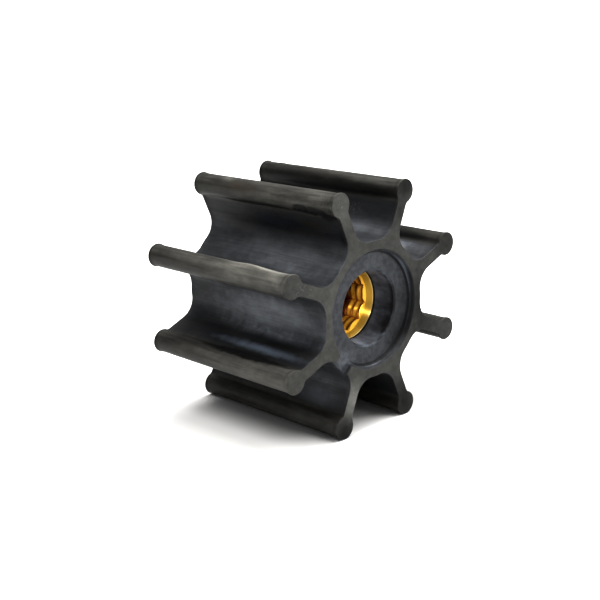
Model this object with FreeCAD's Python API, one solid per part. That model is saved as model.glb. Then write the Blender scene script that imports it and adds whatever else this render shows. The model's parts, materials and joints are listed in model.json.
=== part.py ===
import FreeCAD, Part
import math
import os
from FreeCAD import Vector

# A flexible pump impeller that lies on two of its vanes.
# The axis runs along Y, the face with the sealing recess looks toward -Y and +Z is up.
# The origin is the middle of the bore, halfway between the two faces. Millimetres, degrees.

# Splined bore of the brass insert
SPLINE_LOBES = 12
SPLINE_ROOT_DIAMETER = 17.2
LOBE_HEIGHT = 0.9
SPLINE_TURN = 1.5
LEAD_IN_LENGTH = 1.9
LEAD_IN_STEP = 0.5
LEAD_IN_CLEARANCE = 0.05
TOOTH_CHAMFER_LENGTH = 0.45
REAR_CHAMFER = 0.6

# Outer form of the brass insert, keyed into the rubber
INSERT_WALL = 2.9
KEY_FLUTES = 8
KEY_FLUTE_DIAMETER = 2.4

# Rubber in front of and behind the insert
BORE_STEP = 0.2
FRONT_SETBACK = 9.0
REAR_SETBACK = 3.0
BORE_MOUTH_CHAMFER = 0.4

# Sealing recess in the front face, with the channel that opens it into one valley
RECESS_WIDTH = 4.8
RECESS_DEPTH = 1.8
RECESS_DRAFT = 0.7
RIM_WIDTH = 2.2
CHANNEL_WIDTH = 5.0
CHANNEL_CORNER_ROUND = 0.8

# Vanes, each a web with a round bead along its tip
LENGTH = 49.3
VANES = 8
VANE_HEIGHT = 12.65
WEB_THICKNESS = 3.0
BEAD_DIAMETER = 5.7
NECK_FILLET = 1.4
ROOT_FILLET = 5.3

# Thin lip that the mould leaves round the outline at each face
LIP_HEIGHT = 0.15
LIP_LENGTH = 0.9

# Radii that follow from the sizes above, from the bore outward
SPLINE_ROOT_RADIUS = SPLINE_ROOT_DIAMETER / 2
SPLINE_CREST_RADIUS = SPLINE_ROOT_RADIUS - LOBE_HEIGHT
LEAD_IN_RADIUS = SPLINE_ROOT_RADIUS + LEAD_IN_STEP
BORE_RADIUS = LEAD_IN_RADIUS + BORE_STEP
INSERT_RADIUS = LEAD_IN_RADIUS + INSERT_WALL
RECESS_FLOOR_RADIUS = BORE_RADIUS + RECESS_WIDTH
RECESS_MOUTH_RADIUS = RECESS_FLOOR_RADIUS + RECESS_DRAFT
HUB_RADIUS = RECESS_MOUTH_RADIUS + RIM_WIDTH
BEAD_AXIS_RADIUS = HUB_RADIUS + VANE_HEIGHT
TIP_RADIUS = BEAD_AXIS_RADIUS + BEAD_DIAMETER / 2

# Places along the axis
FRONT = -LENGTH / 2
REAR = LENGTH / 2
RECESS_FLOOR = FRONT + RECESS_DEPTH
INSERT_FRONT = FRONT + FRONT_SETBACK
INSERT_REAR = REAR - REAR_SETBACK
TEETH_FRONT = INSERT_FRONT + LEAD_IN_LENGTH

# Angles in the XZ plane, from +X toward +Z. The lowest valley looks straight down.
DOWN = -90.0
VANE_PITCH = 360.0 / VANES
LOBE_PITCH = 360.0 / SPLINE_LOBES
FLUTE_PITCH = 360.0 / KEY_FLUTES
CHANNEL_ANGLE = DOWN - VANE_PITCH

AXIS = Vector(0, 1, 0)
ORIGIN = Vector(0, 0, 0)
CUTTER_OVERRUN = 1.0
NEARLY = 0.01


def at(radius, angle, y=0.0):
    """Point at a radius and an angle round the axis."""
    turn = math.radians(angle)
    return Vector(radius * math.cos(turn), y, radius * math.sin(turn))


def on_vane(point, angle):
    """Place a point given as (out from the axis, sideways) on the vane at this angle."""
    out, side = point
    turn = math.radians(angle)
    x = out * math.cos(turn) - side * math.sin(turn)
    z = out * math.sin(turn) + side * math.cos(turn)
    return Vector(x, 0, z)


def toward(start, end, distance):
    """Point at a distance from start on the way to end."""
    span = math.dist(start, end)
    return tuple(a + (b - a) * distance / span for a, b in zip(start, end))


def middle_of_arc(center, first, last, radius):
    """Point halfway round the short arc from first to last."""
    chord_middle = tuple((a + b) / 2 for a, b in zip(first, last))
    return toward(center, chord_middle, radius)


def mirrored(points):
    """The same points on the other side of their vane."""
    return [(out, -side) for out, side in points]


def root_fillet_that_fits():
    """Root fillet radius, limited by the room between two vanes."""
    half_gap = math.sin(math.radians(VANE_PITCH / 2))
    room = (HUB_RADIUS * half_gap - WEB_THICKNESS / 2) / (1 - half_gap)
    return min(ROOT_FILLET, 0.97 * room)


def vane_side(grow):
    """One side of a vane from hub to bead, as the six points that its two arcs and line need."""
    bead = BEAD_DIAMETER / 2 + grow
    half_web = WEB_THICKNESS / 2 + grow
    hub = HUB_RADIUS + grow
    neck = NECK_FILLET - grow
    root = root_fillet_that_fits() - grow
    neck_out = BEAD_AXIS_RADIUS - math.sqrt((bead + neck) ** 2 - (half_web + neck) ** 2)
    root_out = math.sqrt((hub + root) ** 2 - (half_web + root) ** 2)
    neck_center = (neck_out, half_web + neck)
    root_center = (root_out, half_web + root)
    hub_end = toward((0.0, 0.0), root_center, hub)
    web_foot = (root_out, half_web)
    web_top = (neck_out, half_web)
    bead_start = toward((BEAD_AXIS_RADIUS, 0.0), neck_center, bead)
    root_middle = middle_of_arc(root_center, hub_end, web_foot, root)
    neck_middle = middle_of_arc(neck_center, web_top, bead_start, neck)
    return [hub_end, root_middle, web_foot, web_top, neck_middle, bead_start]


def vane_edges(angle, grow):
    """Edges round one vane and along the valley that follows it."""
    side = vane_side(grow)
    right = [on_vane(p, angle) for p in mirrored(side)]
    left = [on_vane(p, angle) for p in side]
    tip = at(TIP_RADIUS + grow, angle)
    valley = at(HUB_RADIUS + grow, angle + VANE_PITCH / 2)
    next_vane = on_vane(mirrored(side)[0], angle + VANE_PITCH)
    return [
        Part.Arc(right[0], right[1], right[2]).toShape(),
        Part.LineSegment(right[2], right[3]).toShape(),
        Part.Arc(right[3], right[4], right[5]).toShape(),
        Part.Arc(right[5], tip, left[5]).toShape(),
        Part.Arc(left[5], left[4], left[3]).toShape(),
        Part.LineSegment(left[3], left[2]).toShape(),
        Part.Arc(left[2], left[1], left[0]).toShape(),
        Part.Arc(left[0], valley, next_vane).toShape(),
    ]


def vaned_prism(grow, start, length):
    """Hub and all vanes as one prism, its outline moved outward by grow."""
    edges = []
    for k in range(VANES):
        edges += vane_edges(DOWN + VANE_PITCH * (k + 0.5), grow)
    face = Part.Face(Part.Wire(edges))
    face.translate(AXIS * start)
    return face.extrude(AXIS * length)


def round_bar(radius, start, end):
    """Plain cylinder along the axis."""
    return Part.makeCylinder(radius, end - start, Vector(0, start, 0), AXIS)


def taper(start_radius, end_radius, start, length):
    """Cone along the axis."""
    return Part.makeCone(start_radius, end_radius, length, Vector(0, start, 0), AXIS)


def recess_and_channel():
    """Solid that cuts the sealing recess and the channel from it into one valley."""
    start = FRONT - CUTTER_OVERRUN
    length = RECESS_DEPTH + CUTTER_OVERRUN
    overrun_draft = RECESS_DRAFT / RECESS_DEPTH * CUTTER_OVERRUN
    recess = taper(RECESS_MOUTH_RADIUS + overrun_draft, RECESS_FLOOR_RADIUS, start, length)
    channel = Part.makeBox(HUB_RADIUS + RIM_WIDTH, length, CHANNEL_WIDTH)
    channel.translate(Vector(0, start, -CHANNEL_WIDTH / 2))
    channel.rotate(ORIGIN, AXIS, -CHANNEL_ANGLE)
    cutter = recess.fuse(channel).removeSplitter()
    corners = [e for e in cutter.Edges if is_channel_corner(e)]
    return cutter.makeFillet(CHANNEL_CORNER_ROUND, corners)


def is_channel_corner(edge):
    """True for the two upright edges where the channel leaves the recess."""
    upright = edge.BoundBox.YLength > RECESS_DEPTH
    middle = edge.CenterOfMass
    radius = math.hypot(middle.x, middle.z)
    return upright and abs(radius - RECESS_MOUTH_RADIUS) < RIM_WIDTH / 2


def insert_blank():
    """Outer form of the insert, with lengthwise flutes that key it into the rubber."""
    blank = round_bar(INSERT_RADIUS, INSERT_FRONT, INSERT_REAR)
    flutes = []
    for k in range(KEY_FLUTES):
        flute = round_bar(KEY_FLUTE_DIAMETER / 2, INSERT_FRONT, INSERT_REAR)
        flute.translate(at(INSERT_RADIUS, FLUTE_PITCH * k))
        flutes.append(flute)
    return blank.cut(flutes)


def lobed_bore():
    """Prism of the splined hole: round lobes that stand inward and meet in sharp valleys."""
    edges = []
    for k in range(SPLINE_LOBES):
        crest = SPLINE_TURN + LOBE_PITCH * k
        first = at(SPLINE_ROOT_RADIUS, crest - LOBE_PITCH / 2, INSERT_FRONT)
        top = at(SPLINE_CREST_RADIUS, crest, INSERT_FRONT)
        last = at(SPLINE_ROOT_RADIUS, crest + LOBE_PITCH / 2, INSERT_FRONT)
        edges.append(Part.Arc(first, top, last).toShape())
    return Part.Face(Part.Wire(edges)).extrude(AXIS * (INSERT_REAR - INSERT_FRONT))


def splined_insert():
    """Brass insert with a tapered lead-in, chamfered tooth ends and a splined bore."""
    lead_in_end = SPLINE_ROOT_RADIUS + LEAD_IN_CLEARANCE
    lead_in = taper(LEAD_IN_RADIUS, lead_in_end, INSERT_FRONT, LEAD_IN_LENGTH)
    tooth_ends = taper(lead_in_end, SPLINE_CREST_RADIUS, TEETH_FRONT, TOOTH_CHAMFER_LENGTH)
    rear_mouth = SPLINE_ROOT_RADIUS + REAR_CHAMFER
    rear_length = rear_mouth - SPLINE_CREST_RADIUS
    rear_ends = taper(SPLINE_CREST_RADIUS, rear_mouth, INSERT_REAR - rear_length, rear_length)
    return insert_blank().cut([lobed_bore(), lead_in, tooth_ends, rear_ends])


def rubber_body():
    """Moulded rubber: hub, vanes, end lips, sealing recess and the bore round the insert."""
    body = vaned_prism(0.0, FRONT, LENGTH)
    front_lip = vaned_prism(LIP_HEIGHT, FRONT, LIP_LENGTH)
    rear_lip = vaned_prism(LIP_HEIGHT, REAR - LIP_LENGTH, LIP_LENGTH)
    body = body.fuse([front_lip, rear_lip]).removeSplitter()
    bore = round_bar(BORE_RADIUS, FRONT, REAR)
    body = body.cut([recess_and_channel(), bore, insert_blank()])
    mouths = [e for e in body.Edges if is_bore_mouth(e)]
    return body.makeChamfer(BORE_MOUTH_CHAMFER, mouths)


def is_bore_mouth(edge):
    """True for the two circles where the bore meets the recess floor and the rear face."""
    box = edge.BoundBox
    at_mouth = abs(box.YMin - RECESS_FLOOR) < NEARLY or abs(box.YMin - REAR) < NEARLY
    return box.YLength < NEARLY and abs(box.XMax - BORE_RADIUS) < NEARLY and at_mouth


def write_part(name, shape):
    """Write one sub-part and print what it is."""
    if not shape.isValid():
        raise ValueError(name + " is not a valid solid")
    shape.exportStep("parts/" + name + ".step")
    print(name, "solids", len(shape.Solids), "volume", round(shape.Volume, 1), "mm3")


def main():
    os.makedirs("parts", exist_ok=True)
    write_part("rubber_body", rubber_body())
    write_part("splined_insert", splined_insert())
    print("over the vane tips", 2 * TIP_RADIUS, "mm, length", LENGTH, "mm")


main()
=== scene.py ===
import json
import math

import bmesh
import bpy
import numpy as np
from mathutils import Matrix, Vector


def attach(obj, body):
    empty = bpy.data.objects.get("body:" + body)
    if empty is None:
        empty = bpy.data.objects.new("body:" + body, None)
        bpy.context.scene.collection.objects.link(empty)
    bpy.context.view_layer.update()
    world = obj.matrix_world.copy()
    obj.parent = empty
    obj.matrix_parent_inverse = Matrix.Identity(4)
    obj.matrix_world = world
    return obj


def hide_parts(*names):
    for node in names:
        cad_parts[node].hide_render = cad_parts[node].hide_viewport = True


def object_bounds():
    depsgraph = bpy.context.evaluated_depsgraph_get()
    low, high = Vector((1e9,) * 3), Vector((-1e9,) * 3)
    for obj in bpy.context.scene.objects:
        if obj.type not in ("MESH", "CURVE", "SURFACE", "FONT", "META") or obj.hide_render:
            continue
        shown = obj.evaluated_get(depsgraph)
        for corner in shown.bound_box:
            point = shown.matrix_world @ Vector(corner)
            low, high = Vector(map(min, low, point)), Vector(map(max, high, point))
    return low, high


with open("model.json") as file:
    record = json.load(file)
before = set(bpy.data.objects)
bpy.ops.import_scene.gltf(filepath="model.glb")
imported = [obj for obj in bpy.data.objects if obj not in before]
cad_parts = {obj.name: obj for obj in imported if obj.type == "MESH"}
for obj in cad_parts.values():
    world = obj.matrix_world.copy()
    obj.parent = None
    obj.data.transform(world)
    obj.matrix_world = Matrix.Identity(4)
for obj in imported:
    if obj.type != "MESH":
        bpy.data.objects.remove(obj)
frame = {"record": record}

CAD_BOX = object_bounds()
MM = 0.001
RNG = np.random.default_rng(20)

# Driving sizes in millimetres, the same as the solids use
RECESS_WIDTH = 4.8
RECESS_DEPTH = 1.8
RECESS_DRAFT = 0.7
RIM_WIDTH = 2.2
CHANNEL_WIDTH = 5.0
CHANNEL_CORNER = 0.8
VANES = 8
VANE_HEIGHT = 12.65
WEB_THICKNESS = 3.0
BEAD_DIAMETER = 5.7
NECK_FILLET = 1.4
ROOT_FILLET = 5.3
FRONT_SETBACK = 9.0
REAR_SETBACK = 3.0
LEAD_IN_LENGTH = 1.9
LEAD_IN_STEP = 0.5
LEAD_IN_CLEARANCE = 0.05
LOBES = 12
LOBE_HEIGHT = 0.9
LOBE_TURN = 1.5
TOOTH_CHAMFER = 0.45
REAR_CHAMFER = 0.6
INSERT_WALL = 2.9
FLUTES = 8
FLUTE_RADIUS = 1.2

# What follows from them and from the frame. The axis of the impeller runs along Y.
MOUNT_SIZES = {mount["name"]: mount["dims"] for mount in frame["record"]["mounts"]}
FRONT = round(CAD_BOX[0].y / MM, 2)
REAR = round(CAD_BOX[1].y / MM, 2)
BORE_RADIUS = MOUNT_SIZES["front_bore"]["r_mm"]
RECESS_FLOOR = FRONT + RECESS_DEPTH
RECESS_FLOOR_RADIUS = BORE_RADIUS + RECESS_WIDTH
RECESS_MOUTH_RADIUS = RECESS_FLOOR_RADIUS + RECESS_DRAFT
CHANNEL_HALF_WIDTH = CHANNEL_WIDTH / 2
HUB_RADIUS = RECESS_MOUTH_RADIUS + RIM_WIDTH
HALF_WEB = WEB_THICKNESS / 2
BEAD_RADIUS = BEAD_DIAMETER / 2
BEAD_AXIS_RADIUS = HUB_RADIUS + VANE_HEIGHT
BEAD_START = BEAD_AXIS_RADIUS - BEAD_RADIUS
CREST_RADIUS = MOUNT_SIZES["spline"]["r_mm"]
ROOT_RADIUS = CREST_RADIUS + LOBE_HEIGHT
LEAD_IN_RADIUS = ROOT_RADIUS + LEAD_IN_STEP
LEAD_IN_END_RADIUS = ROOT_RADIUS + LEAD_IN_CLEARANCE
INSERT_RADIUS = LEAD_IN_RADIUS + INSERT_WALL
INSERT_FRONT = FRONT + FRONT_SETBACK
INSERT_REAR = REAR - REAR_SETBACK
TEETH_FRONT = INSERT_FRONT + LEAD_IN_LENGTH
REAR_MOUTH_RADIUS = ROOT_RADIUS + REAR_CHAMFER
REAR_CONE = INSERT_REAR - (REAR_MOUTH_RADIUS - CREST_RADIUS)

# Angles in degrees in the XZ plane, from +X toward +Z. The lowest valley looks straight down.
DOWN = -90.0
VANE_PITCH = 360.0 / VANES
FIRST_VANE = DOWN + VANE_PITCH / 2
CHANNEL_ANGLE = DOWN - VANE_PITCH


# Mesh helpers

WAVES = 26


def new_object(name, data):
    """Put a mesh, light or camera into the scene under this name."""
    obj = bpy.data.objects.new(name, data)
    bpy.context.scene.collection.objects.link(obj)
    return obj


def lofted(name, rings, closed=False):
    """Mesh through equal rings of points in millimetres, with flat ends or closed on itself."""
    rings = np.asarray(rings, float)
    count, around = rings.shape[:2]
    first = np.arange(around)
    after = (first + 1) % around
    faces = []
    for j in range(count if closed else count - 1):
        low = j * around
        high = (j + 1) % count * around
        faces += np.stack([low + first, low + after, high + after, high + first], 1).tolist()
    smooth = [True] * len(faces)
    if not closed:
        faces.append(list(range(around - 1, -1, -1)))
        faces.append(list(range((count - 1) * around, count * around)))
        smooth += [False, False]
    mesh = bpy.data.meshes.new(name)
    mesh.from_pydata((rings.reshape(-1, 3) * MM).tolist(), [], faces)
    mesh.polygons.foreach_set("use_smooth", smooth)
    mesh.validate()
    mesh.update()
    return mesh


def facing_out(mesh):
    """Turn all faces of a closed mesh outward."""
    work = bmesh.new()
    work.from_mesh(mesh)
    bmesh.ops.recalc_face_normals(work, faces=work.faces)
    work.to_mesh(mesh)
    work.free()
    return mesh


def cut(obj, cutter_mesh):
    """Subtract a closed mesh from an object."""
    cutter = new_object("cutter", cutter_mesh)
    step = obj.modifiers.new("cut", "BOOLEAN")
    step.operation = "DIFFERENCE"
    step.solver = "EXACT"
    step.object = cutter
    depsgraph = bpy.context.evaluated_depsgraph_get()
    result = bpy.data.meshes.new_from_object(obj.evaluated_get(depsgraph))
    obj.modifiers.clear()
    obj.data = result
    bpy.data.objects.remove(cutter)


def arc(center, radius, start, end, count):
    """Points from start to end (degrees, end left out) and their directions from the centre."""
    turn = np.radians(start + (end - start) * np.arange(count) / count)
    spread = np.stack([np.cos(turn), np.sin(turn)], 1)
    return np.asarray(center) + radius * spread, spread


def turned(angle):
    """Matrix that turns plan points, written as rows, by this angle in degrees."""
    turn = math.radians(angle)
    return np.array([[math.cos(turn), math.sin(turn)], [-math.sin(turn), math.cos(turn)]])


def ring(turn, radius, y):
    """Ring of points round the axis, at one radius or at one for each angle."""
    return np.stack([radius * np.cos(turn), np.full(len(turn), y), radius * np.sin(turn)], 1)


def quarter(count):
    """Angles in radians from nothing to a quarter turn."""
    return np.radians(np.linspace(0, 90, count))


def rising(value, reach):
    """From zero to one as the value goes from zero to this reach."""
    return np.clip(value / reach, 0, 1)


def smooth_noise(shape, waves_y, waves_s):
    """Soft random field over rings and outline points, periodic round the outline."""
    rows = np.linspace(0, 1, shape[0])[:, None]
    cols = np.linspace(0, 1, shape[1], endpoint=False)[None, :]
    field = np.zeros(shape)
    for _ in range(WAVES):
        wave_y = RNG.uniform(*waves_y)
        wave_s = int(RNG.integers(*waves_s))
        phase = RNG.uniform(0, 2 * math.pi, 2)
        along = np.sin(2 * math.pi * wave_y * rows + phase[0])
        field += along * np.sin(2 * math.pi * wave_s * cols + phase[1])
    return field / math.sqrt(WAVES)


# Rubber body

# Counts of points on the stretches of the outline, and of rings along the axis
ROOT_POINTS = 14
WEB_POINTS = 9
NECK_POINTS = 5
BEAD_POINTS = 34
HUB_POINTS = 6
END_ROUND_RINGS = 6
MIDDLE_RINGS = 78

# Steps between the rings behind each end edge, and sizes of edges, lips and unevenness
END_STEPS = (0.08, 0.1, 0.12, 0.15, 0.18, 0.2, 0.22, 0.25, 0.3, 0.4)
END_ROUND = 0.22
BODY_INSET = 0.07
LIP_HEIGHT = 0.15
LIP_REACH = 0.95
UNEVEN_BROAD = 0.022
UNEVEN_FINE = 0.009
MOST_UNEVEN = 0.06
SHARP_RUBBER_EDGE = 38

# Swellings: height, place on the outline as X and Z with its reach, and place along Y with its reach
SWELLINGS = (
    (0.42, (-27.6, 14.1), 1.3, -10.5, 4.0),
    (-0.16, (-27.6, 14.1), 1.3, -19.5, 2.4),
    (0.16, (11.4, 30.1), 1.0, 18.8, 1.1),
)

# Ragged flash line under the top left bead, with the stretch along Y where it stands out
FLASH_PLACE = (-13.3, 25.3)
FLASH_REACH = 0.75
FLASH_HEIGHT = 0.32
FLASH_RAGGED = 0.16
FLASH_MOST_TORN = 1.6
FLASH_START = -23.4
FLASH_START_REACH = 1.0
FLASH_END = -8.5
FLASH_END_REACH = 5.0


def vane_outline():
    """Outline of one vane and the valley after it: points and outward normals, out and sideways."""
    neck_side = HALF_WEB + NECK_FILLET
    neck_out = BEAD_AXIS_RADIUS - math.sqrt((BEAD_RADIUS + NECK_FILLET) ** 2 - neck_side**2)
    root_side = HALF_WEB + ROOT_FILLET
    root_out = math.sqrt((HUB_RADIUS + ROOT_FILLET) ** 2 - root_side**2)
    root_turn = math.degrees(math.atan2(root_side, root_out))
    neck_turn = math.degrees(math.atan2(neck_side, BEAD_AXIS_RADIUS - neck_out))
    points, normals = [], []

    def add(part, outward):
        points.append(part[0])
        normals.append(part[1] * outward)

    def add_line(start, end, normal, count):
        share = (np.arange(count) / count)[:, None]
        points.append(np.asarray(start) + (np.asarray(end) - np.asarray(start)) * share)
        normals.append(np.tile(np.asarray(normal, float), (count, 1)))

    add(arc((root_out, -root_side), ROOT_FILLET, 180 - root_turn, 90, ROOT_POINTS), -1)
    add_line((root_out, -HALF_WEB), (neck_out, -HALF_WEB), (0, -1), WEB_POINTS)
    add(arc((neck_out, -neck_side), NECK_FILLET, 90, neck_turn, NECK_POINTS), -1)
    add(arc((BEAD_AXIS_RADIUS, 0), BEAD_RADIUS, neck_turn - 180, 180 - neck_turn, BEAD_POINTS), 1)
    add(arc((neck_out, neck_side), NECK_FILLET, -neck_turn, -90, NECK_POINTS), -1)
    add_line((neck_out, HALF_WEB), (root_out, HALF_WEB), (0, 1), WEB_POINTS)
    add(arc((root_out, root_side), ROOT_FILLET, 270, 180 + root_turn, ROOT_POINTS), -1)
    add(arc((0, 0), HUB_RADIUS, root_turn, VANE_PITCH - root_turn, HUB_POINTS), 1)
    return np.concatenate(points), np.concatenate(normals)


def whole_outline():
    """Outline of all the vanes in the XZ plane: points and outward normals."""
    points, normals = vane_outline()
    turns = [turned(FIRST_VANE + VANE_PITCH * k) for k in range(VANES)]
    all_points = np.concatenate([points @ turn for turn in turns])
    all_normals = np.concatenate([normals @ turn for turn in turns])
    return all_points, all_normals


def body_stations():
    """Places along the axis for the rings of the body, with the inset that rounds the end edges."""
    turns = quarter(END_ROUND_RINGS)
    edge = END_ROUND * (1 - np.sin(turns))
    inset = END_ROUND * (1 - np.cos(turns))
    near = END_ROUND + np.cumsum(END_STEPS)
    middle = np.linspace(FRONT + near[-1], REAR - near[-1], MIDDLE_RINGS + 2)[1:-1]
    depth = np.concatenate([edge[::-1], near])
    close = np.concatenate([inset[::-1], np.zeros(len(near))])
    y = np.concatenate([FRONT + depth, middle, REAR - depth[::-1]])
    pull = np.concatenate([close, np.zeros(len(middle)), close[::-1]])
    return y, pull


def swelling(points, y):
    """Local unevenness of the moulding: a swollen bead, a knot and a ragged flash line."""

    def near(place, reach):
        return np.exp(-(((points - np.asarray(place)) ** 2).sum(1)) / reach**2)[None, :]

    torn = smooth_noise((len(y), len(points)), (8, 60), (20, 90))
    ragged = FLASH_HEIGHT + FLASH_RAGGED * np.clip(torn, -FLASH_MOST_TORN, FLASH_MOST_TORN)
    stretch = rising(y - FLASH_START, FLASH_START_REACH) * rising(FLASH_END - y, FLASH_END_REACH)
    grow = ragged * near(FLASH_PLACE, FLASH_REACH) * stretch[:, None]
    for height, place, reach, middle, length in SWELLINGS:
        along = np.exp(-(((y - middle) / length) ** 2))[:, None]
        grow = grow + height * along * near(place, reach)
    return grow


def rubber_mesh():
    """Hub and vanes with flared lips, softened end edges and slight moulding unevenness."""
    points, normals = whole_outline()
    y, pull = body_stations()
    shape = (len(y), len(points))
    lip = np.exp(-((np.minimum(y - FRONT, REAR - y) / LIP_REACH) ** 2))[:, None]
    uneven = UNEVEN_BROAD * smooth_noise(shape, (1, 9), (8, 90))
    uneven += UNEVEN_FINE * smooth_noise(shape, (6, 26), (40, 200))
    grow = (LIP_HEIGHT + BODY_INSET) * lip - BODY_INSET - pull[:, None]
    grow = grow + np.clip(uneven, -MOST_UNEVEN, MOST_UNEVEN) * (1 - lip)
    grow = grow + swelling(points, y) * (1 - lip)
    rings = np.zeros(shape + (3,))
    rings[:, :, 0] = points[:, 0] + normals[:, 0] * grow
    rings[:, :, 1] = y[:, None]
    rings[:, :, 2] = points[:, 1] + normals[:, 1] * grow
    return facing_out(lofted("rubber", rings[::-1]))


# Sizes and counts of the tools that cut the recess and the bore
MOUTH_ROUND = 0.3
FLOOR_ROUND = 0.12
CHANNEL_REACH = 24.0
CUTTER_OVERRUN = 1.0
BORE_MOUTH = 0.42
MOUTH_RINGS = 7
FLOOR_RINGS = 6
WALL_RINGS = 6
FRONT_BORE_RINGS = 14
REAR_BORE_RINGS = 6
ROUND_POINTS = 150
CORNER_POINTS = 8
CHANNEL_POINTS = 8
CHANNEL_END_POINTS = 6
AROUND_BORE = 288


def recess_outline(radius, half_width, corner, reach):
    """Plan of the recess and its channel: a round with a straight slot leaving it."""
    corner_out = math.sqrt((radius + corner) ** 2 - (half_width + corner) ** 2)
    meet = math.degrees(math.atan2(half_width + corner, corner_out))
    parts = [
        arc((0, 0), radius, meet, 360 - meet, ROUND_POINTS)[0],
        arc((corner_out, -half_width - corner), corner, 180 - meet, 90, CORNER_POINTS)[0],
        np.linspace((corner_out, -half_width), (reach, -half_width), CHANNEL_POINTS, endpoint=False),
        np.linspace((reach, -half_width), (reach, half_width), CHANNEL_END_POINTS, endpoint=False),
        np.linspace((reach, half_width), (corner_out, half_width), CHANNEL_POINTS, endpoint=False),
        arc((corner_out, half_width + corner), corner, 270, 180 + meet, CORNER_POINTS)[0],
    ]
    return np.concatenate(parts) @ turned(CHANNEL_ANGLE)


def recess_cutter():
    """Recess and channel with a softened mouth and a small round at the floor."""
    stations = []
    for turn in quarter(FLOOR_RINGS):
        y = RECESS_FLOOR - FLOOR_ROUND * (1 - math.cos(turn))
        stations.append((y, -FLOOR_ROUND * (1 - math.sin(turn))))
    for y in np.linspace(RECESS_FLOOR - FLOOR_ROUND, FRONT + MOUTH_ROUND, WALL_RINGS)[1:]:
        stations.append((y, 0.0))
    for turn in quarter(MOUTH_RINGS)[1:]:
        stations.append((FRONT + MOUTH_ROUND * (1 - math.sin(turn)), MOUTH_ROUND * (1 - math.cos(turn))))
    stations.append((FRONT - CUTTER_OVERRUN, MOUTH_ROUND))
    draft = (RECESS_MOUTH_RADIUS - RECESS_FLOOR_RADIUS) / (FRONT - RECESS_FLOOR)
    rings = []
    for y, grow in stations:
        radius = RECESS_FLOOR_RADIUS + draft * (max(y, FRONT) - RECESS_FLOOR) + grow
        corner = CHANNEL_CORNER - grow / 2
        plan = recess_outline(radius, CHANNEL_HALF_WIDTH + grow, corner, CHANNEL_REACH)
        rings.append(np.stack([plan[:, 0], np.full(len(plan), y), plan[:, 1]], 1))
    return facing_out(lofted("recess", rings))


def bore_angles():
    """Angles in radians of the points round the bore, the first one on a lobe's crest."""
    return math.radians(LOBE_TURN) + 2 * math.pi * np.arange(AROUND_BORE) / AROUND_BORE


def insert_outer(turn):
    """Radius of the insert's fluted outside at these angles in radians."""
    pitch = 2 * math.pi / FLUTES
    off = (turn + pitch / 2) % pitch - pitch / 2
    inside = FLUTE_RADIUS**2 - (INSERT_RADIUS * np.sin(off)) ** 2
    fluted = INSERT_RADIUS * np.cos(off) - np.sqrt(np.clip(inside, 0, None))
    return np.where(inside > 0, np.minimum(fluted, INSERT_RADIUS), INSERT_RADIUS)


def bore_cutter():
    """Bore with a chamfered front mouth and a rounded rear one, widened for the insert."""
    turn = bore_angles()
    profile = [(FRONT - CUTTER_OVERRUN, BORE_RADIUS + BORE_MOUTH)]
    for step in np.sin(quarter(MOUTH_RINGS)):
        profile.append((RECESS_FLOOR + BORE_MOUTH * step, BORE_RADIUS + BORE_MOUTH * (1 - step)))
    for y in np.linspace(RECESS_FLOOR + BORE_MOUTH, INSERT_FRONT, FRONT_BORE_RINGS)[1:]:
        profile.append((y, BORE_RADIUS))
    profile += [(INSERT_FRONT, insert_outer(turn)), (INSERT_REAR, insert_outer(turn))]
    for y in np.linspace(INSERT_REAR, REAR - BORE_MOUTH, REAR_BORE_RINGS):
        profile.append((y, BORE_RADIUS))
    for turned_by in quarter(MOUTH_RINGS)[1:]:
        widened = BORE_RADIUS + BORE_MOUTH * (1 - math.cos(turned_by))
        profile.append((REAR - BORE_MOUTH * (1 - math.sin(turned_by)), widened))
    profile.append((REAR + CUTTER_OVERRUN, BORE_RADIUS + BORE_MOUTH))
    return facing_out(lofted("bore", [ring(turn, radius, y) for y, radius in profile]))


def make_rubber():
    """The moulded body with its recess, channel and bore."""
    body = new_object("impeller_rubber", rubber_mesh())
    cut(body, recess_cutter())
    cut(body, bore_cutter())
    body.data.set_sharp_from_angle(angle=math.radians(SHARP_RUBBER_EDGE))
    return body


# Brass insert

# Puller thread. Its walls rise by the slope for each millimetre along the axis.
THREAD_PITCH = 2.05
THREAD_RADIUS = 8.95
THREAD_HALF_WIDTH = 0.4
THREAD_WALL_SLOPE = 3.2
THREAD_SETBACK = 0.77
THREAD_TURNS = 5.2
THREAD_START = TEETH_FRONT + THREAD_SETBACK
THREAD_END = THREAD_START + THREAD_PITCH * THREAD_TURNS
DARK_GROOVE_REACH = 0.78
DARK_VALLEY_RADIUS = CREST_RADIUS + 0.45

# Rounded rim, and the rings of the hole from front to rear and of the outside
LEAD_IN_RIM = 0.2
RIM_RINGS = 5
LEAD_IN_RINGS = 10
SLIVER = 0.001
THREAD_STEP = 0.065
PLAIN_GAP = 0.8
PLAIN_RINGS = 16
CONE_RINGS = 12
OUTSIDE_RINGS = 8
SHARP_BRASS_EDGE = 30


def lobe_radius(turn):
    """Radius of the splined hole at these angles in radians: round lobes that stand inward."""
    pitch = 2 * math.pi / LOBES
    off = (turn - math.radians(LOBE_TURN) + pitch / 2) % pitch - pitch / 2
    side = ROOT_RADIUS * math.sin(pitch / 2)
    rise = ROOT_RADIUS * math.cos(pitch / 2) - CREST_RADIUS
    lobe = (side**2 + rise**2) / (2 * rise)
    middle = CREST_RADIUS + lobe
    return middle * np.cos(off) - np.sqrt(lobe**2 - (middle * np.sin(off)) ** 2)


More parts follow.
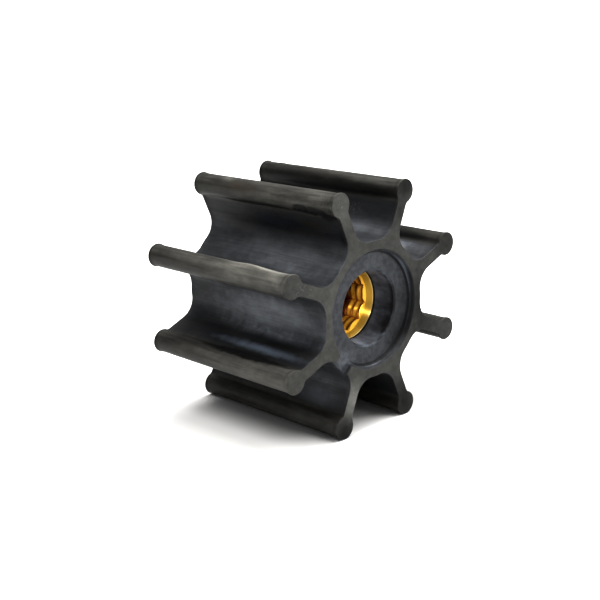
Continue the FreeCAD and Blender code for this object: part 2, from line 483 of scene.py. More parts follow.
def thread_groove(turn, y):
    """Distance of each point from the middle of the thread's groove, and the groove's radius there."""
    degrees = (np.degrees(turn) + 180) % 360 - 180
    middle = THREAD_START - THREAD_PITCH * degrees / 360
    off = np.abs((y - middle + THREAD_PITCH / 2) % THREAD_PITCH - THREAD_PITCH / 2)
    wall = CREST_RADIUS + THREAD_WALL_SLOPE * (THREAD_HALF_WIDTH - off)
    fade = rising(THREAD_END - y, THREAD_PITCH)
    return off, np.minimum(wall, THREAD_RADIUS * fade + CREST_RADIUS * (1 - fade))


def darkening(lobes, off, y):
    """Share of painted shade in the grooves and in the sharp valleys between the lobes."""
    behind = y - TEETH_FRONT
    in_groove = rising(DARK_GROOVE_REACH - off, 0.5) * rising(behind - 0.3, 0.3) * (y < THREAD_END)
    in_valley = 0.8 * rising(lobes - DARK_VALLEY_RADIUS, 0.4) * rising(behind - 0.2, 0.4)
    return np.maximum(in_groove, in_valley)


def splined_rows(turn):
    """Place along Y, radius and share of painted shade of each ring of the splined hole, from front to
    rear.
    """
    lobes = lobe_radius(turn)
    tooth_slope = (LEAD_IN_END_RADIUS - CREST_RADIUS) / TOOTH_CHAMFER
    threaded = np.arange(TEETH_FRONT + SLIVER, THREAD_END + THREAD_PITCH, THREAD_STEP)
    plain = np.linspace(threaded[-1] + PLAIN_GAP, REAR_CONE, PLAIN_RINGS)
    cone = np.linspace(REAR_CONE, INSERT_REAR, CONE_RINGS)
    for y in np.concatenate([threaded, plain, cone]):
        off, groove = thread_groove(turn, y)
        tooth_ends = LEAD_IN_END_RADIUS - tooth_slope * (y - TEETH_FRONT)
        rear_cone = CREST_RADIUS + y - REAR_CONE
        radius = np.maximum(np.maximum(lobes, groove), max(tooth_ends, rear_cone))
        yield y, radius, darkening(lobes, off, y)


def insert_mesh():
    """Brass insert: fluted outside, smooth lead-in, lobed hole with a puller thread cut across it."""
    turn = bore_angles()
    unshaded = np.zeros(len(turn))
    rows = []
    for step in quarter(RIM_RINGS):
        radius = LEAD_IN_RADIUS + LEAD_IN_RIM * (1 - math.sin(step))
        rows.append((INSERT_FRONT + LEAD_IN_RIM * (1 - math.cos(step)), radius, unshaded))
    narrowing = (LEAD_IN_RADIUS - LEAD_IN_END_RADIUS) / (TEETH_FRONT - INSERT_FRONT)
    for y in np.linspace(INSERT_FRONT + LEAD_IN_RIM, TEETH_FRONT, LEAD_IN_RINGS)[1:]:
        rows.append((y, LEAD_IN_RADIUS - narrowing * (y - INSERT_FRONT), unshaded))
    rows += splined_rows(turn)
    for y in np.linspace(INSERT_REAR, INSERT_FRONT, OUTSIDE_RINGS):
        rows.append((y, insert_outer(turn), unshaded))
    mesh = lofted("insert", [ring(turn, radius, y) for y, radius, _ in rows], closed=True)
    # Painted shade of the grooves and lobe valleys, kept on the mesh
    groove_shade_layer = mesh.attributes.new("groove", "FLOAT", "POINT")
    groove_shade_layer.data.foreach_set("value", np.concatenate([mask for _, _, mask in rows]))
    facing_out(mesh)
    mesh.set_sharp_from_angle(angle=math.radians(SHARP_BRASS_EDGE))
    return mesh


# Materials. Places and reaches are in millimetres, the scales of noises are for metres.

class Shader:
    """Small builder of node materials."""

    def __init__(self, name):
        self.material = bpy.data.materials.new(name)
        self.material.use_nodes = True
        self.tree = self.material.node_tree
        self.surface = self.tree.nodes["Principled BSDF"]
        self.place = self.tree.nodes.new("ShaderNodeTexCoord").outputs["Object"]
        self.spot = self.scaled(self.place, 1 / MM)
        self.edges = {}

    def link(self, value, socket):
        """Set a socket to a number or colour, or link an output to it."""
        if isinstance(value, bpy.types.NodeSocket):
            self.tree.links.new(value, socket)
        else:
            socket.default_value = value

    def finish(self, inputs):
        """Give the surface its inputs, linked ones and those that are the same all over."""
        for name, value in inputs.items():
            self.link(value, self.surface.inputs[name])
        return self.material

    def calc(self, kind, a, b=0.0):
        """One step of arithmetic on numbers."""
        node = self.tree.nodes.new("ShaderNodeMath")
        node.operation = kind
        self.link(a, node.inputs[0])
        self.link(b, node.inputs[1])
        return node.outputs[0]

    def times(self, first, *others):
        """Product of all these values."""
        for other in others:
            first = self.calc("MULTIPLY", first, other)
        return first

    def most(self, first, *others):
        """Largest of all these values."""
        for other in others:
            first = self.calc("MAXIMUM", first, other)
        return first

    def ramp(self, value, low, high, to_low=0.0, to_high=1.0):
        """Smooth step from one range of values to another."""
        node = self.tree.nodes.new("ShaderNodeMapRange")
        node.interpolation_type = "SMOOTHSTEP"
        for value_in, socket in zip((value, low, high, to_low, to_high), node.inputs):
            self.link(value_in, socket)
        return node.outputs[0]

    def mix(self, share, a, b):
        """Blend two colours, on the sockets that the node has for colours."""
        node = self.tree.nodes.new("ShaderNodeMix")
        node.data_type = "RGBA"
        self.link(share, node.inputs[0])
        self.link(a, node.inputs[6])
        self.link(b, node.inputs[7])
        return node.outputs[2]

    def vector(self, kind, a, b=(0, 0, 0)):
        """One step of arithmetic on vectors."""
        node = self.tree.nodes.new("ShaderNodeVectorMath")
        node.operation = kind
        self.link(a, node.inputs[0])
        self.link(b, node.inputs[1])
        return node.outputs["Value" if kind == "LENGTH" else "Vector"]

    def scaled(self, vector, factor):
        """Vector or colour times a number."""
        node = self.tree.nodes.new("ShaderNodeVectorMath")
        node.operation = "SCALE"
        self.link(vector, node.inputs[0])
        self.link(factor, node.inputs["Scale"])
        return node.outputs["Vector"]

    def parts(self, vector):
        """The three numbers of a vector."""
        node = self.tree.nodes.new("ShaderNodeSeparateXYZ")
        self.link(vector, node.inputs[0])
        return node.outputs

    def normal(self):
        """Parts of the direction that the surface faces."""
        return self.parts(self.tree.nodes.new("ShaderNodeNewGeometry").outputs["Normal"])

    def stretched(self, x, y, z):
        """Object coordinates scaled along each axis."""
        node = self.tree.nodes.new("ShaderNodeMapping")
        node.inputs["Scale"].default_value = (x, y, z)
        self.link(self.place, node.inputs[0])
        return node.outputs[0]

    def noise(self, vector, scale, detail=4.0, rough=0.55):
        """Cloudy noise round one half."""
        node = self.tree.nodes.new("ShaderNodeTexNoise")
        self.link(vector, node.inputs["Vector"])
        node.inputs["Scale"].default_value = scale
        node.inputs["Detail"].default_value = detail
        node.inputs["Roughness"].default_value = rough
        return node.outputs["Fac"]

    def uneven_edge(self, grain):
        """Noise round zero, made once for each grain."""
        if grain not in self.edges:
            self.edges[grain] = self.calc("SUBTRACT", self.noise(self.place, grain, 4, 0.6), 0.5)
        return self.edges[grain]

    def patch(self, center, reach, ragged=0.0, grain=400, core=0.0):
        """One inside a soft oval patch, zero outside, with an uneven edge."""
        away = self.vector("SUBTRACT", self.spot, center)
        length = self.vector("LENGTH", self.vector("DIVIDE", away, reach))
        if ragged:
            length = self.calc("ADD", length, self.times(self.uneven_edge(grain), ragged))
        return self.ramp(length, 1.0, core)

    def gain(self, tone, inside, share):
        """Colour made paler by a share inside a mask, or darker by a share below zero."""
        return self.scaled(tone, self.calc("ADD", 1.0, self.times(inside, share)))

    def gains(self, tone, ragged, patches):
        """Colour made paler or darker in each of these patches: centre, reach and share."""
        for center, reach, share in patches:
            tone = self.gain(tone, self.patch(center, reach, ragged), share)
        return tone

    def tint(self, tone, inside, share, color):
        """Colour moved toward another one by a share inside a mask."""
        return self.mix(self.times(inside, share), tone, color)

    def attribute(self, name):
        """Value that the mesh carries under this name."""
        node = self.tree.nodes.new("ShaderNodeAttribute")
        node.attribute_name = name
        return node.outputs["Fac"]

    def along_axis(self):
        """The direction of the impeller's axis, everywhere."""
        node = self.tree.nodes.new("ShaderNodeCombineXYZ")
        node.inputs["Y"].default_value = 1.0
        return node.outputs[0]

    def bump(self, height, distance, strength, normal=None):
        """Surface direction with this relief, on top of an earlier one if there is one."""
        node = self.tree.nodes.new("ShaderNodeBump")
        node.inputs["Strength"].default_value = strength
        node.inputs["Distance"].default_value = distance * MM
        self.link(height, node.inputs["Height"])
        if normal is not None:
            self.link(normal, node.inputs["Normal"])
        return node.outputs[0]


def rgb(red, green, blue):
    """Opaque colour."""
    return (red, green, blue, 1.0)


# Patches of painted light and shade on the rubber by region: centre, reach, and the share by which they
# are paler or darker.
# Vanes and valleys are named as seen from the front.
# Painted light: the valleys made paler
VALLEY_PAINTED_LIGHT = (
    # Upper left
    ((-11.5, -4, 13), (6, 32, 5.5), 2.0),
    ((-9.3, 21, 16), (3, 8, 4), 0.5),
    ((-13.8, -8, 10), (3.5, 26, 3.5), 0.8),
    # Left
    ((-17.5, -6, -1.2), (5, 30, 7), 4.7),
    ((-18.8, -8, -5.2), (2.5, 24, 1.9), 1.3),
    # Right side of the top one, and upper right
    ((7.5, -12, 18), (5, 22, 5), 2.7),
    ((17, -16, 12), (8, 16, 6), 2.2),
    ((22, -17, 10.4), (4.2, 14, 2.6), 1.1),
    ((22.6, -11, 11.0), (3.5, 9, 2.0), 2.1),
    # Lower left
    ((-9.5, -16, -18.5), (4, 16, 4), 1.0),
    ((-10.5, -15, -21), (4, 14, 5), 2.1),
)
VALLEY_PAINTED_SHADE = (
    # Painted shade on the webs of the top left and lower left vanes, under their beads
    ((-9.6, -4, 20.6), (4, 17, 3.0), -0.72),
    ((-20.3, -14, -6.8), (1.7, 12, 1.2), -0.45),
    ((-9.2, -23.5, 18.4), (2, 2.2, 2.4), -0.7),
    # Painted shade on the right side of the top right vane, and on the bottom right vane
    ((13, 6, 24), (5, 24, 6), -0.8),
    ((12, -6, -25), (9, 30, 9), -0.85),
)
BEAD_PAINTED_LIGHT = (
    # Painted light: paler on the left
    ((-28, -10, 13), (6, 32, 6), 1.5),
    ((-15.2, -3, 27.2), (2.5, 28, 1.8), 1.3),
    ((-28.5, -8, -12), (6, 32, 6), 1.15),
    ((-13, 2, -28), (6, 30, 5), 0.9),
    ((-13, -12, 28), (6, 26, 5.5), 0.55),
    # Painted shade: darker on the right
    ((27, 0, 11), (7, 40, 7), -0.75),
    ((11.5, 0, -27), (7, 40, 7), -0.8),
)
BEAD_PAINTED_SHEEN = (
    # Painted shade on the upper right and top right beads, over their sheen
    ((27.5, -4, 13.2), (6, 42, 4.5), -0.7),
    ((11.4, 4, 32), (5, 40, 3), -0.12),
    # Painted highlights on the upper left bead
    ((-27.5, -7, 14.3), (3, 5, 2.0), 0.5),
    ((-27.2, -14, 14.3), (3, 12, 1.9), 0.9),
    ((-28.5, -21.5, 13.5), (3.5, 4, 3.0), 0.55),
    # Painted highlights on the top left bead
    ((-12.6, 13, 30.3), (2.8, 4, 1.8), 1.4),
    ((-14, -20, 28.7), (2.5, 5, 1.7), 0.9),
)
FACE_PAINTED_LIGHT = (
    # Painted shade on the right side and on the beads at the bottom
    ((11.6, FRONT, 29), (7, 9, 7), -0.9),
    ((-11.6, FRONT, -28.8), (6.5, 9, 5.8), -0.97),
    ((10.8, FRONT, -26), (8, 9, 13), -0.97),
    ((18.0, FRONT, -3), (10, 9, 17), -0.92),
    ((27, FRONT, 11), (8, 9, 8), -0.5),
    ((27, FRONT, -11), (8, 9, 8), -0.4),
    # Painted light on the web of the bottom left vane, and painted shade on the web of the top right vane
    ((-8.5, FRONT, -21), (6, 9, 7), 2.0),
    ((9.5, FRONT, 22), (4, 9, 5), -0.58),
    # Painted light on the left side
    ((-11.5, FRONT, 26), (6, 9, 8), 0.6),
    ((-16, FRONT, 4), (12, 9, 16), 0.3),
    ((-20, FRONT, -11), (8, 9, 6), 0.25),
)
RECESS_PAINTED_LIGHT = (
    # Painted light and shade on the floor
    ((10.5, -23, -9), (8, 3, 9), -0.72),
    ((2, -23, 12.5), (7, 3, 4), 0.4),
    ((11.6, -22.85, -0.5), (4.2, 1.2, 7.5), -0.55),
    # Painted light on the channel and on the lowest part of the wall
    ((-9, -23.2, -11.2), (4.5, 2.5, 4.0), 1.2),
    ((0, -23.9, -14.5), (7, 1.1, 1.5), 2.6),
)
BORE_PAINTED_LIGHT = (
    # Painted light at the bottom and upper right, and painted shade on the right
    ((0, -19, -9.3), (8, 5, 4), 2.9),
    ((6, -19, 6.5), (6, 5, 4), 1.5),
    ((9.3, -20.6, -1.5), (2.6, 2.2, 5.5), -0.45),
)
# Black bands of painted shade under the beads, the first, third and fourth along the torn flash line
# under the top left bead: centre, reach, ragged edge, grain and core
SHADE_AND_FLASH_BANDS = (
    ((-13.0, -17.0, 25.2), (2.4, 7.5, 1.9), 0.7, 700, 0.65),
    ((-26.5, -6, -8.8), (2.5, 19, 2.0), 0.6, 420, 0.6),
    ((-13.9, -13.8, 26.2), (1.6, 3.0, 0.8), 0.7, 700, 0.55),
    ((-12.2, -21, 24.7), (2.6, 3.6, 2.0), 0.7, 700, 0.65),
    ((24.8, -8, 12.6), (1.5, 22, 1.0), 0.4, 420, 0.3),
    ((9.0, 15, 26.6), (2.4, 17, 4.2), 0.5, 420, 0.3),
)
# Painted shade on the right of the bore's wall: the same five values
BORE_CRESCENT_SHADE = (
    ((9.0, -22.4, 0), (2.5, 1.7, 8.5), 0.4, 500, 0.3),
    ((7.3, -21.8, -5.7), (3.0, 2.4, 3.8), 0.5, 500, 0.3),
    ((4.2, -22.7, -8.9), (2.8, 0.6, 1.6), 0.3, 500, 0.3),
    ((6.0, -22.0, -7.2), (1.6, 1.1, 1.3), 0.3, 500, 0.4),
)
# Places that rubbing has greyed: centre and reach
WORN_PLACES = (
    ((-13.6, -21.5, 28.8), (3.5, 3.2, 3.5)),
    ((-28.5, -22.5, 12.8), (3.5, 2.6, 3.8)),
    ((-11.6, FRONT, 27.4), (2.6, 2.0, 3.4)),
    ((-24.5, FRONT, 9.5), (6.0, 2.0, 3.5)),
    ((7.6, -11.5, 22.0), (2.5, 2.6, 2.4)),
)


class RubberShader(Shader):
    """Dark moulded rubber: bluish in the valleys, warm and dusty on the beads, streaked lengthwise, with
    painted light and shade.
    """

    def __init__(self, name):
        super().__init__(name)

        # Where the regions are
        x, self.y, z = self.parts(self.spot)
        self.radius = self.calc("SQRT", self.calc("ADD", self.times(x, x), self.times(z, z)))
        self.facing = self.normal()
        self.up = self.ramp(self.facing[2], -0.1, 0.95)
        self.end_face = self.ramp(self.calc("ABSOLUTE", self.facing[1]), 0.85, 0.97)
        self.bead = self.ramp(self.radius, BEAD_START - 1.3, BEAD_START + 0.8)
        behind_face = self.ramp(self.y, FRONT + 0.55, FRONT + 1.25)
        self.channel = self.patch((-10, -23.2, -10.5), (4.5, 2.6, 5.5), core=0.6)
        round_part = self.ramp(self.radius, RECESS_MOUTH_RADIUS + 0.2, RECESS_MOUTH_RADIUS - 0.4)
        in_recess = self.most(round_part, self.channel)
        self.recess = self.times(in_recess, behind_face, self.ramp(self.y, 0.0, -2.0))
        in_bore = self.ramp(self.radius, BORE_RADIUS + 0.6, BORE_RADIUS + 0.2)
        self.bore = self.times(in_bore, behind_face)

        # Streaks, hair lines and clouds, all drawn out along the axis
        self.streak = self.noise(self.stretched(1, 0.07, 1), 520, 5, 0.6)
        self.hair = self.noise(self.stretched(1, 0.035, 1), 2600, 3, 0.6)
        self.cloud = self.noise(self.stretched(1, 0.4, 1), 300, 5, 0.65)

    def valley_color(self):
        """Hub and webs: bluish in the valleys, a tint that paints the reflection of the surround, nearly
        black on the webs as painted shade, and painted light and shade by region.
        """
        drift = self.ramp(self.noise(self.stretched(1, 0.25, 1), 170), 0.3, 0.7)
        hub = self.mix(drift, rgb(0.020, 0.0215, 0.0245), rgb(0.032, 0.034, 0.0375))
        # Painted shade: the webs nearly black
        web_shade = self.mix(drift, rgb(0.009, 0.010, 0.012), rgb(0.017, 0.0175, 0.019))
        tone = self.mix(self.ramp(self.radius, HUB_RADIUS + 1.6, HUB_RADIUS + 4.5), hub, web_shade)
        tone = self.scaled(tone, self.ramp(self.cloud, 0.25, 0.75, 0.82, 1.18))
        tone = self.scaled(tone, self.ramp(self.hair, 0.35, 0.65, 0.90, 1.10))
        tone = self.gains(tone, 0.5, VALLEY_PAINTED_LIGHT)
        tone = self.gains(tone, 1.0, VALLEY_PAINTED_SHADE)
        # Painted shade: dark navy under the top left bead
        navy_shade = self.patch((-9.8, -2, 20.8), (3, 15, 2.6), 0.9, 300)
        tone = self.tint(tone, navy_shade, 0.7, rgb(0.007, 0.0095, 0.017))
        # Painted reflection: a pale bluish strip on the web of the lower left vane
        strip_reflection = self.patch((-22.6, -7, -7.9), (2.0, 21, 2.0), 0.7, 420)
        tone = self.tint(tone, strip_reflection, 0.75, rgb(0.125, 0.150, 0.188))
        # Painted reflection: a pale bluish sheen on the web of the bottom left vane, near the front
        web_reflection = self.patch((-10.6, -14.5, -21.7), (2.5, 9, 3.5), 0.5, 300)
        tone = self.tint(tone, web_reflection, 0.45, rgb(0.100, 0.115, 0.135))
        rusty = self.patch((-10.3, -14, 21.5), (2.5, 6, 1.5), 0.9, 500)
        return self.tint(tone, rusty, 0.6, rgb(0.022, 0.017, 0.011))

    def bead_color(self):
        """Beads: warm grey, streaked lengthwise, with painted light that makes them paler toward the
        front, and painted light and shade by region.
        """
        streaks = self.ramp(self.streak, 0.32, 0.68)
        tone = self.mix(streaks, rgb(0.0135, 0.0132, 0.0118), rgb(0.031, 0.0305, 0.0275))
        # Painted light: paler toward the front, darker toward the rear
        tone = self.scaled(tone, self.ramp(self.y, 24, -22, 0.95, 1.4))
        tone = self.scaled(tone, self.ramp(self.cloud, 0.25, 0.75, 0.7, 1.3))
        tone = self.gains(tone, 0.4, BEAD_PAINTED_LIGHT)
        # Painted shade on the underside of the top right bead
        top_right_underside_shade = self.patch((11, -9, 28), (5, 30, 4.5), core=0.6)
        return self.gain(tone, self.times(top_right_underside_shade, self.ramp(self.facing[2], 0.75, 0.3)), -0.8)

    def dusted_with_painted_sheen(self, tone):
        """Streaks of dust on what faces up, most of all on the beads, and patches of painted highlight
        and shade on the beads.
        """
        blotch = self.noise(self.place, 130, 4, 0.6)
        dust = self.times(self.ramp(self.streak, 0.38, 0.72), self.ramp(blotch, 0.35, 0.7))
        dust = self.times(dust, self.up, self.ramp(self.bead, 0.0, 1.0, 0.25, 1.0))
        tone = self.tint(tone, dust, 0.5, rgb(0.080, 0.077, 0.069))
        return self.gains(tone, 0.4, BEAD_PAINTED_SHEEN)

    def with_blotch_and_painted_shade(self, tone):
        """A brown blotch, black bands of painted shade under the beads, and painted shade behind the lips
        round the ends of the beads.
        """
        brown = self.patch((-13.8, 7, 28.4), (3, 10, 2.4), 0.9, 500)
        tone = self.tint(tone, brown, 0.55, rgb(0.030, 0.021, 0.014))
        # Painted shade: black bands along the necks under the beads and along the torn flash line
        thin_neck_shade = self.times(self.patch((-12.2, 0, 25.2), (2.0, 17, 1.2), 0.4, 300, 0.2), 0.8)
        shade_bands = self.most(thin_neck_shade, *[self.patch(*band) for band in SHADE_AND_FLASH_BANDS])
        tone = self.tint(tone, shade_bands, 0.93, rgb(0.003, 0.003, 0.003))
        # Painted shade behind the lips at both ends of the beads
        front_lip_shade = self.ramp(self.y, FRONT + 0.45, FRONT + 0.95)
        front_lip_shade = self.times(front_lip_shade, self.ramp(self.y, FRONT + 1.75, FRONT + 1.15))
        rear_lip_shade = self.ramp(self.y, REAR - 1.05, REAR - 0.45)
        edges = self.most(self.times(front_lip_shade, 0.2), self.times(rear_lip_shade, 0.56))
        on_bead = self.ramp(self.radius, BEAD_START - 1.0, BEAD_START - 0.2)
        return self.gain(tone, self.times(on_bead, edges), -1.0)

    def face_color(self):
        """End faces: plain mottled grey, with painted shade on the right and at the bottom in front, and
        painted light on the left.
        """
        mottle = self.ramp(self.noise(self.place, 420, 6, 0.75), 0.3, 0.7)
        tone = self.mix(mottle, rgb(0.0275, 0.0277, 0.0259), rgb(0.0445, 0.0447, 0.0419))
        return self.gains(tone, 0.4, FACE_PAINTED_LIGHT)

    def recess_color(self):
        """Floor and wall of the recess: bluish, with painted light and shade by region and a painted
        shade line in the corner between them.
        """
        mottle = self.ramp(self.noise(self.place, 620, 5, 0.7), 0.36, 0.66)
        tone = self.mix(mottle, rgb(0.026, 0.028, 0.0328), rgb(0.045, 0.0484, 0.0540))
        tone = self.scaled(self.gains(tone, 0.4, RECESS_PAINTED_LIGHT), 0.95)
        # Painted shade line in the corner between the floor and the wall
        inner = self.ramp(self.radius, RECESS_FLOOR_RADIUS - 0.45, RECESS_FLOOR_RADIUS - 0.15)
        outer = self.ramp(self.radius, RECESS_FLOOR_RADIUS + 0.5, RECESS_FLOOR_RADIUS + 0.2)
        depth = self.ramp(self.y, RECESS_FLOOR - 0.7, RECESS_FLOOR - 0.4)
        not_channel = self.calc("SUBTRACT", 1.0, self.channel)
        return self.gain(tone, self.times(inner, outer, depth, not_channel), -0.72)

    def with_recess_edge(self, tone):
        """Painted highlight round the upper right of the recess wall, and a painted shade brink outside
        it.
        """
        outside = RECESS_MOUTH_RADIUS + 0.2
        start = self.ramp(self.y, FRONT + 0.5, FRONT + 0.75)
        end = self.ramp(self.y, FRONT + 1.5, FRONT + 1.25)
        # Painted highlight: a pale line along the edge of the wall on the upper right
        upper_right = self.patch((12.5, -24, 8), (7, 4, 9), 0.4, 400, 0.3)
        line = self.times(start, end, self.ramp(self.radius, outside, RECESS_MOUTH_RADIUS), upper_right)
        tone = self.tint(tone, line, 0.75, rgb(0.095, 0.108, 0.130))
        # Painted shade along the brink on the right
        inner = self.ramp(self.radius, RECESS_MOUTH_RADIUS - 0.5, RECESS_MOUTH_RADIUS - 0.3)
        outer = self.ramp(self.radius, outside, RECESS_MOUTH_RADIUS + 0.05)
        right = self.patch((14, -24.2, -1.5), (5, 3, 12), 0.4, 400, 0.6)
        return self.gain(tone, self.times(inner, outer, right), -0.65)

    def with_bore(self, tone):
        """Wall of the bore, with painted light and shade by region, a painted shade crescent on its right
        and a painted shade seam at the brass.
        """
        clouds = self.ramp(self.cloud, 0.35, 0.68)
        lining = self.mix(clouds, rgb(0.026, 0.029, 0.036), rgb(0.066, 0.075, 0.091))
        lining = self.scaled(lining, self.ramp(self.y, -18.3, -17.0, 1.0, 1.25))
        tone = self.mix(self.bore, tone, self.gains(lining, 0.5, BORE_PAINTED_LIGHT))
        # Painted shade: a black crescent on the right of the wall and a dark seam at the brass
        crescent_shade = self.most(*[self.patch(*part) for part in BORE_CRESCENT_SHADE])
        seam_shade = self.ramp(self.y, INSERT_FRONT - 0.75, INSERT_FRONT - 0.45)
        seam_shade = self.times(seam_shade, self.ramp(self.y, 0.0, -2.0))
        shade = self.most(self.times(crescent_shade, 0.85), seam_shade)
        return self.tint(tone, shade, self.bore, rgb(0.004, 0.004, 0.004))

    def scuffed(self, tone):
        """Pale flecks all over and grey rubbed places."""
        fleck = self.ramp(self.noise(self.place, 2400, 3, 0.5), 0.68, 0.78)
        tone = self.tint(tone, fleck, 0.35, rgb(0.07, 0.07, 0.07))
        worn = self.most(*[self.patch(center, reach, 0.5) for center, reach in WORN_PLACES])
        rubbed = self.times(worn, self.ramp(self.noise(self.place, 1500, 4, 0.65), 0.55, 0.66))
        return self.tint(tone, rubbed, 0.75, rgb(0.12, 0.12, 0.118))

    def color(self):
        """Colour of the whole body, put together from its regions."""
        tone = self.mix(self.bead, self.valley_color(), self.bead_color())
        tone = self.with_blotch_and_painted_shade(self.dusted_with_painted_sheen(tone))
        tone = self.mix(self.end_face, tone, self.face_color())
        tone = self.mix(self.recess, tone, self.recess_color())
        tone = self.with_bore(self.with_recess_edge(tone))
        return self.scuffed(tone)

    def roughness(self):
        """Satin, duller on the end faces and on the bead at the right."""
        satin = self.ramp(self.streak, 0.3, 0.75, 0.42, 0.60)
        dull_bead = self.patch((27, 0, 12), (8, 45, 8))
        rough = self.calc("ADD", satin, self.times(self.end_face, 0.08))
        return self.calc("ADD", rough, self.times(dull_bead, 0.5))

    def relief(self):
        """Fine lengthwise lines, grain and soft dents."""
        lines = self.calc("ADD", self.times(self.hair, 0.6), self.times(self.streak, 0.8))
        normal = self.bump(lines, 0.05, 0.5)
        normal = self.bump(self.noise(self.place, 5200, 3, 0.6), 0.02, 0.5, normal)
        return self.bump(self.cloud, 0.12, 0.6, normal)


def rubber_material():
    """Dark moulded rubber, with marks of use and with painted light and shade."""
    shader = RubberShader("moulded_rubber")
    inputs = {
        "Base Color": shader.color(),
        "Roughness": shader.roughness(),
        "Normal": shader.relief(),
        "Specular IOR Level": 0.16,
    }
    return shader.finish(inputs)


def brass_material():
    """Machined brass with fine turning marks, with painted shade that makes it red-brown in the grooves
    and deep inside, a darker painted shade copy on the lead-in and a painted highlight on its rim.
    """
    shader = Shader("machined_brass")
    y = shader.parts(shader.spot)[1]
    cloud = shader.noise(shader.place, 300, 4, 0.6)
    teeth = shader.mix(cloud, rgb(0.94, 0.49, 0.045), rgb(1.0, 0.63, 0.11))
    # Painted shade: a darker copy of the brass colour on the lead-in
    shaded_lead_in = shader.mix(cloud, rgb(0.54, 0.34, 0.055), rgb(0.61, 0.40, 0.080))
    tone = shader.mix(shader.ramp(y, TEETH_FRONT + 0.15, TEETH_FRONT - 0.15), teeth, shaded_lead_in)
    # Painted highlight: a pale line on the rim of the lead-in
    rim_highlight = shader.ramp(y, INSERT_FRONT + 0.35, INSERT_FRONT + 0.05)
    tone = shader.tint(tone, rim_highlight, 0.7, rgb(0.52, 0.41, 0.21))
    # Painted shade: dark red-brown deep inside the bore
    deep_shade = shader.times(shader.ramp(y, -10.0, -7.7), shader.ramp(y, 17.0, 7.0))
    tone = shader.tint(tone, deep_shade, 0.92, rgb(0.16, 0.028, 0.001))
    # Painted shade: red-brown in the grooves and the sharp valleys between the lobes
    tone = shader.tint(tone, shader.attribute("groove"), 0.9, rgb(0.15, 0.026, 0.002))
    turning = shader.noise(shader.stretched(0.02, 1, 0.02), 5000, 2, 0.5)
    inputs = {
        "Base Color": tone,
        "Roughness": shader.ramp(cloud, 0.3, 0.7, 0.37, 0.41),
        "Normal": shader.bump(turning, 0.01, 0.6),
        "Tangent": shader.along_axis(),
        "Metallic": 0.6,
        "Specular IOR Level": 0.15,
        "Anisotropic": 1.0,
    }
    return shader.finish(inputs)


def floor_material():
    """Pale, nearly even floor."""
    shader = Shader("pale_floor")
    tone = shader.mix(shader.noise(shader.place, 3, 3, 0.5), rgb(0.59, 0.59, 0.59), rgb(0.62, 0.62, 0.62))
    return shader.finish({"Base Color": tone, "Roughness": 0.9, "Specular IOR Level": 0.1})


# The stage: floor, light and camera

FLOOR_REACH = 14000.0
FLOOR_POINTS = 96
AMBIENT = 0.45
LIGHT_COLOR = (1.0, 0.99, 0.97)

# Large far lights: name, direction toward the light, strength and spread in degrees
SOFT_LIGHTS = (
    ("top_light", (0.38, -0.10, 0.92), 8.0, 60),
    ("left_light", (-0.42, 0.05, 0.90), 3.2, 30),
    ("front_light", (0.45, -0.82, 0.36), 1.6, 40),
)

# Narrow lamp that lights the brass in the bore, with places and sizes in millimetres
BORE_LIGHT_DIRECTION = (-0.63, -0.63, 0.455)
BORE_LIGHT_TARGET = (7, -14, -2)
BORE_LIGHT_WATTS = 6.5
BORE_LIGHT_CONE = 2.8
BORE_LIGHT_BLEND = 0.6
BORE_LIGHT_DISTANCE = 400
BORE_LIGHT_SIZE = 6

# Camera fitted to the outlines of the photograph, in millimetres
CAMERA_SENSOR = 36.0
CAMERA_LENS = 68.140
CAMERA_PLACE = (-196.699, -201.646, 78.162)
CAMERA_AHEAD = (0.66908, 0.69087, -0.27392)
CAMERA_RIGHT = (0.71228, -0.70130, -0.02896)
CAMERA_NEAR = 10
CAMERA_FAR = 100000


def make_floor():
    """Wide round floor under the lowest point of the solids."""
    turn = 2 * math.pi * np.arange(FLOOR_POINTS) / FLOOR_POINTS
    reach = FLOOR_REACH * MM
    level = CAD_BOX[0].z
    points = [(reach * math.cos(a), reach * math.sin(a), level) for a in turn]
    mesh = bpy.data.meshes.new("floor")
    mesh.from_pydata(points, [], [list(range(FLOOR_POINTS))])
    floor = new_object("floor", mesh)
    floor.data.materials.append(floor_material())


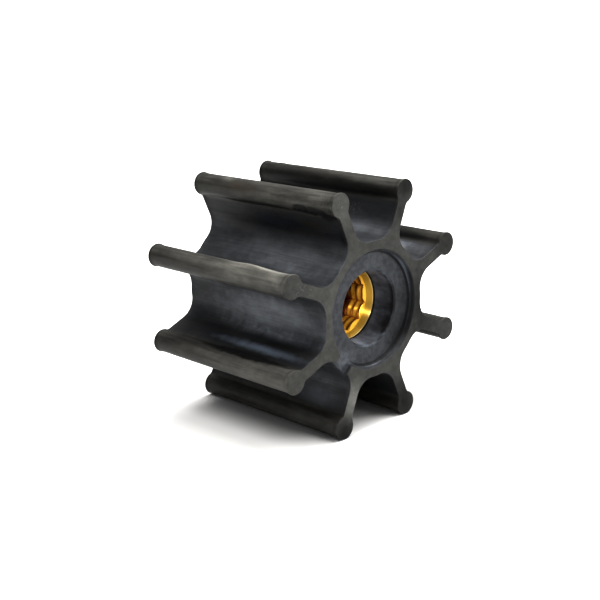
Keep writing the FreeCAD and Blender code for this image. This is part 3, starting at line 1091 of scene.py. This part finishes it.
def make_world():
    """Even pale surround."""
    world = bpy.data.worlds.new("studio")
    bpy.context.scene.world = world
    world.use_nodes = True
    glow = world.node_tree.nodes["Background"]
    glow.inputs["Color"].default_value = rgb(1, 1, 1)
    glow.inputs["Strength"].default_value = AMBIENT


def new_light(name, kind, energy, direction):
    """Light that shines from this direction."""
    data = bpy.data.lights.new(name, kind)
    data.energy = energy
    lamp = new_object(name, data)
    lamp.rotation_mode = "QUATERNION"
    lamp.rotation_quaternion = Vector(direction).to_track_quat("Z", "Y")
    return lamp


def make_lights():
    """Soft lights from above and in front, and the narrow one into the bore."""
    for name, direction, strength, spread in SOFT_LIGHTS:
        sun = new_light(name, "SUN", strength, direction)
        sun.data.angle = math.radians(spread)
        sun.data.color = LIGHT_COLOR
    away = Vector(BORE_LIGHT_DIRECTION).normalized()
    spot = new_light("bore_light", "SPOT", BORE_LIGHT_WATTS, away)
    spot.location = (Vector(BORE_LIGHT_TARGET) + away * BORE_LIGHT_DISTANCE) * MM
    spot.data.spot_size = math.radians(BORE_LIGHT_CONE)
    spot.data.spot_blend = BORE_LIGHT_BLEND
    spot.data.shadow_soft_size = BORE_LIGHT_SIZE * MM


def make_camera():
    """Camera at the viewpoint of the photograph."""
    data = bpy.data.cameras.new("camera")
    data.sensor_width = CAMERA_SENSOR
    data.lens = CAMERA_LENS
    data.clip_start = CAMERA_NEAR * MM
    data.clip_end = CAMERA_FAR * MM
    camera = new_object("camera", data)
    ahead = Vector(CAMERA_AHEAD).normalized()
    up = Vector(CAMERA_RIGHT).cross(ahead).normalized()
    right = ahead.cross(up).normalized()
    place = Vector(CAMERA_PLACE) * MM
    rows = [(right[i], up[i], -ahead[i], place[i]) for i in range(3)] + [(0, 0, 0, 1)]
    camera.matrix_world = Matrix(rows)
    bpy.context.scene.camera = camera


make_camera()
make_floor()
make_world()
make_lights()

rubber = make_rubber()
rubber.data.materials.clear()
rubber.data.materials.append(rubber_material())
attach(rubber, "root")
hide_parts("rubber_body")

brass = new_object("splined_insert_brass", insert_mesh())
brass.data.materials.append(brass_material())
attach(brass, "root")
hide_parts("splined_insert")

bpy.context.scene.view_settings.view_transform = "Standard"
bpy.context.scene.view_settings.gamma = 0.8
